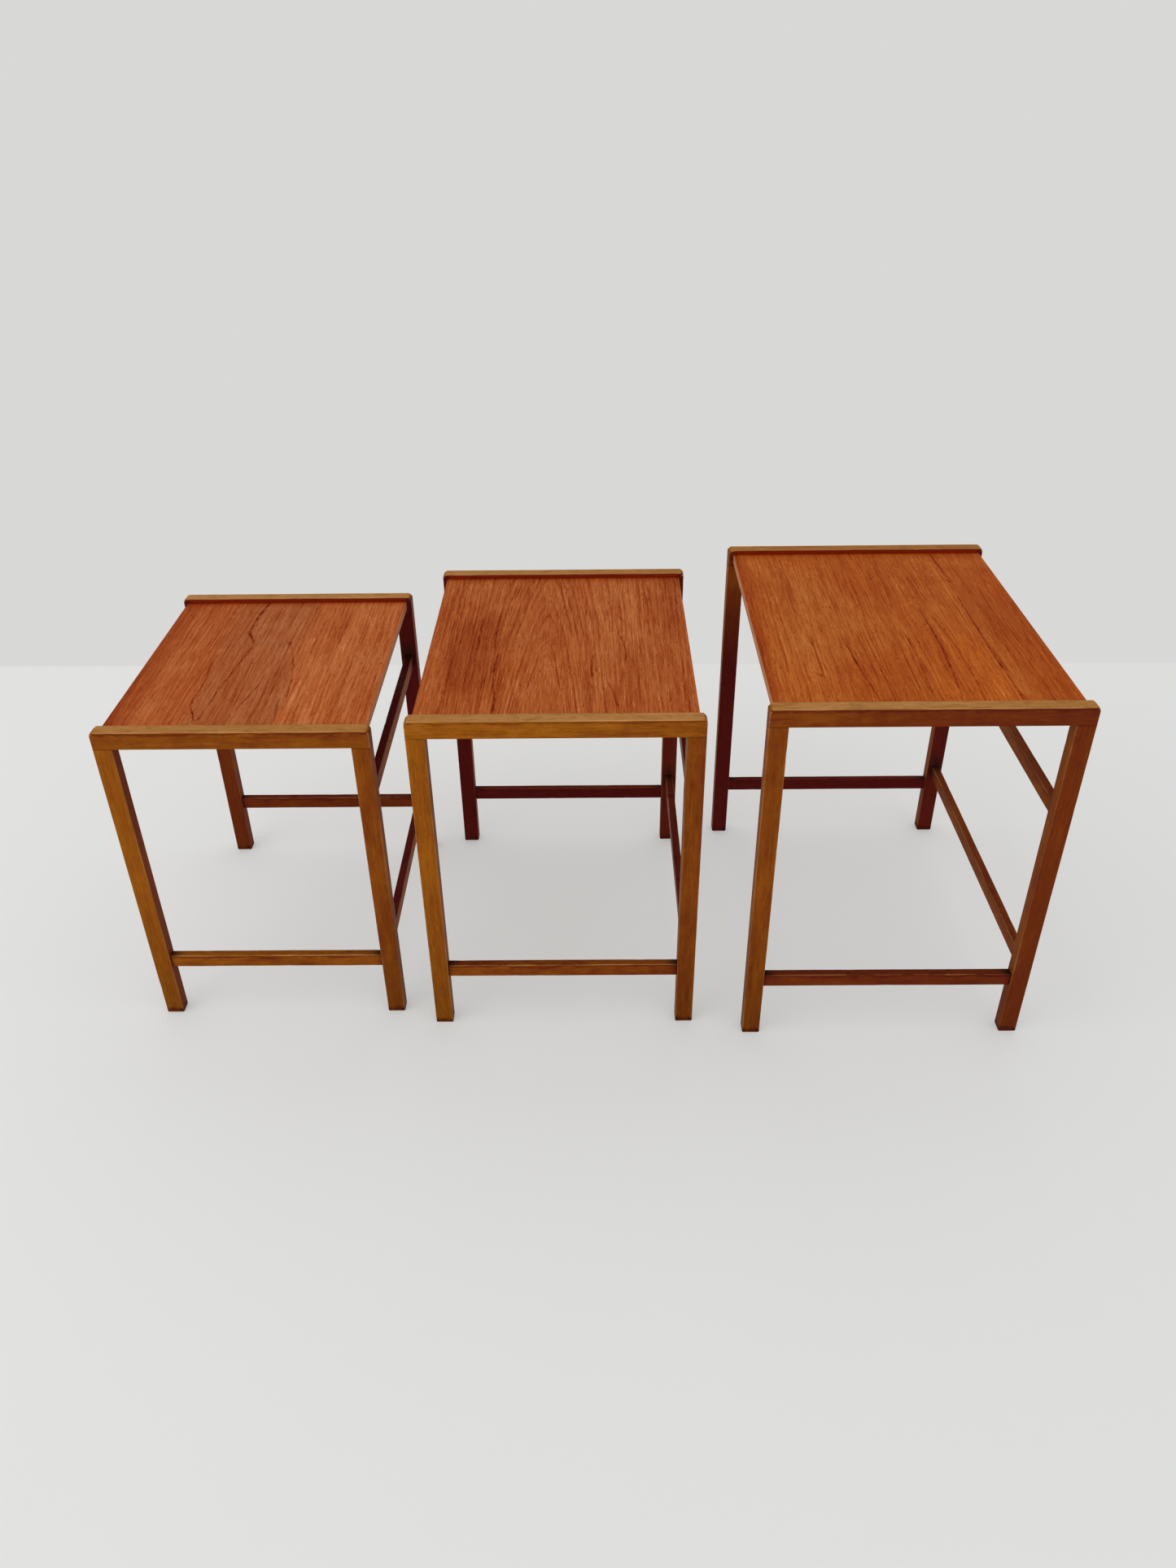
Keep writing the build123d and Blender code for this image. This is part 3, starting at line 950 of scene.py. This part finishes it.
def make_frame(table, beech, random):
    """All the bars of one table."""
    for end_name, end in (("front", -1), ("rear", 1)):
        for side_name, side in (("left", -1), ("right", 1)):
            make_bar(table, f"{end_name}_{side_name}_leg", "leg", LEG, end, side, beech[Z], random)
        for kind, bar in (("top_rail", TOP_RAIL), ("stretcher", STRETCHER)):
            make_bar(table, f"{end_name}_{kind}", kind, bar, end, 0, beech[X], random)
    for level in ("upper", "lower"):
        make_bar(table, f"{level}_side_rail", "side_rail", SIDE_RAIL, 0, 1, beech[Y], random)


def finish_node(node, material):
    """Give a solid that stays in the scene its finish."""
    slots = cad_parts[node].data.materials
    slots.clear()
    slots.append(material)


def finish_top(table, shared):
    """Finishes of one table's top and of the dowels that hold the table together."""
    finish_node(f"{table}_face_veneer", teak_veneer(table))
    lipping = teak_lipping(table)
    for side_name in ("left", "right"):
        finish_node(f"{table}_{side_name}_lipping", lipping)
    finish_node(f"{table}_backing_veneer", shared["backing"])
    finish_node(f"{table}_top_core", shared["core"])
    for group in ("leg", "stretcher", "side_rail", "top"):
        finish_node(f"{table}_{group}_dowels", shared["dowels"])


# The photograph's camera: its frame, focal length, place and turning
PHOTO_HEIGHT = 1927
FOCAL_PIXELS = 1414.7
SENSOR = 36.0
CAMERA_PLACE = (0.0188, -1.3579, 1.1365)
CAMERA_PITCH = math.radians(33.311)
CAMERA_HEADING = math.radians(0.566)
CAMERA_ROLL = math.radians(-0.691)


def make_camera():
    """Camera that looks down by its pitch, turned by its heading about Z and rolled about its own axis."""
    data = bpy.data.cameras.new("photo_camera")
    data.sensor_width = SENSOR
    data.lens = FOCAL_PIXELS * SENSOR / PHOTO_HEIGHT
    camera = bpy.data.objects.new("photo_camera", data)
    upright = Matrix.Rotation(CAMERA_HEADING, 4, "Z") @ Matrix.Rotation(math.pi / 2 - CAMERA_PITCH, 4, "X")
    camera.matrix_world = Matrix.Translation(CAMERA_PLACE) @ upright @ Matrix.Rotation(CAMERA_ROLL, 4, "Z")
    bpy.context.scene.collection.objects.link(camera)
    bpy.context.scene.camera = camera


FLOOR_REACH = 5.0
FLOOR_GRID = (41, 25)
WALL_LINE = 0.835
WALL_SLOPE = -0.0098
FLOOR_COLOUR = (0.800, 0.800, 0.785)
FLOOR_LIFT = 0.37
FLOOR_LIFT_COLOUR = (0.780, 0.790, 0.780)
FLOOR_ROUGHNESS = 0.7
FLOOR_CLOUD_SIZE = (0.35, 0.35, 0.35)
BACKDROP_COLOUR = (0.690, 0.690, 0.680)


def make_floor():
    """Pale floor: a flat grid, x across and y from its near edge to the line where the backdrop begins.

    Where it is seen, part of it is plain white card, which lightens the shadows as a white room does.
    """
    across, along = FLOOR_GRID
    x, share = np.meshgrid(np.linspace(-FLOOR_REACH, FLOOR_REACH, across), np.linspace(0, 1, along))
    y = -FLOOR_REACH + share * (FLOOR_REACH + WALL_LINE + WALL_SLOPE * x)
    index = np.arange(x.size).reshape(x.shape)
    corners = [index[:-1, :-1], index[:-1, 1:], index[1:, 1:], index[1:, :-1]]
    quads = np.stack(corners, axis=-1).reshape(-1, 4)
    mesh = bpy.data.meshes.new("floor")
    mesh.from_pydata(np.stack([x, y, 0 * x], axis=-1).reshape(-1, 3), [], quads)
    paint = Finish("floor_paint")
    cloud = paint.noise(FLOOR_CLOUD_SIZE, 4.0)
    colour = paint.shaded(FLOOR_COLOUR, 1 + 0.02 * cloud)
    mesh.materials.append(paint.done(colour, FLOOR_ROUGHNESS, cloud, FLOOR_RELIEF, FLOOR_GLOSS))
    painted = Value(paint, paint.shader.outputs["BSDF"])
    card = paint.node("ShaderNodeEmission", {}, {"Color": FLOOR_LIFT_COLOUR})
    lifted = paint.node("ShaderNodeMixShader", {}, {"Fac": FLOOR_LIFT * paint.seen(), 1: painted, 2: card})
    paint.feed(paint.tree.nodes["Material Output"].inputs["Surface"], lifted)
    floor = bpy.data.objects.new("floor", mesh)
    bpy.context.scene.collection.objects.link(floor)


ZENITH_STRENGTH = 0.60
HORIZON_STRENGTH = 1.45
LAMP_SIZE = 2.4
LAMP_POWER = 14.0
LAMP_PLACE = (-2.2, -1.2, 2.0)
LAMP_AIM = (0.0, 0.0, 0.3)


def make_light():
    """Soft white room, brightest low down, and a broad lamp at the left; the backdrop is what is seen."""
    world = bpy.data.worlds.new("room")
    bpy.context.scene.world = world
    world.use_nodes = True
    room = Nodes(world.node_tree)
    direction = room.node("ShaderNodeTexCoord", output="Generated")
    rise = room.node("ShaderNodeSeparateXYZ", {}, {"Vector": direction}, output="Z")
    strength = HORIZON_STRENGTH + (ZENITH_STRENGTH - HORIZON_STRENGTH) * rise.step(0.0, 1.0)
    sky = room.node("ShaderNodeBackground", {}, {"Color": (1.0, 1.0, 1.0), "Strength": strength})
    backdrop = room.node("ShaderNodeBackground", {}, {"Color": BACKDROP_COLOUR})
    choice = room.node("ShaderNodeMixShader", {}, {"Fac": room.seen(), 1: sky, 2: backdrop})
    room.feed(room.tree.nodes["World Output"].inputs["Surface"], choice)

    data = bpy.data.lights.new("soft_lamp", "AREA")
    data.size = LAMP_SIZE
    data.energy = LAMP_POWER
    lamp = bpy.data.objects.new("soft_lamp", data)
    lamp.location = LAMP_PLACE
    lamp.rotation_euler = (Vector(LAMP_AIM) - Vector(LAMP_PLACE)).to_track_quat("-Z", "Y").to_euler()
    bpy.context.scene.collection.objects.link(lamp)


random = np.random.default_rng(SEED)
beech = [stained_beech(axis) for axis in (X, Y, Z)]
shared_finishes = {"backing": backing_veneer(), "core": chipboard(), "dowels": raw_beech()}
for table in TABLES:
    make_frame(table, beech, random)
    finish_top(table, shared_finishes)
make_camera()
make_floor()
make_light()
bpy.context.scene.view_settings.view_transform = "Standard"
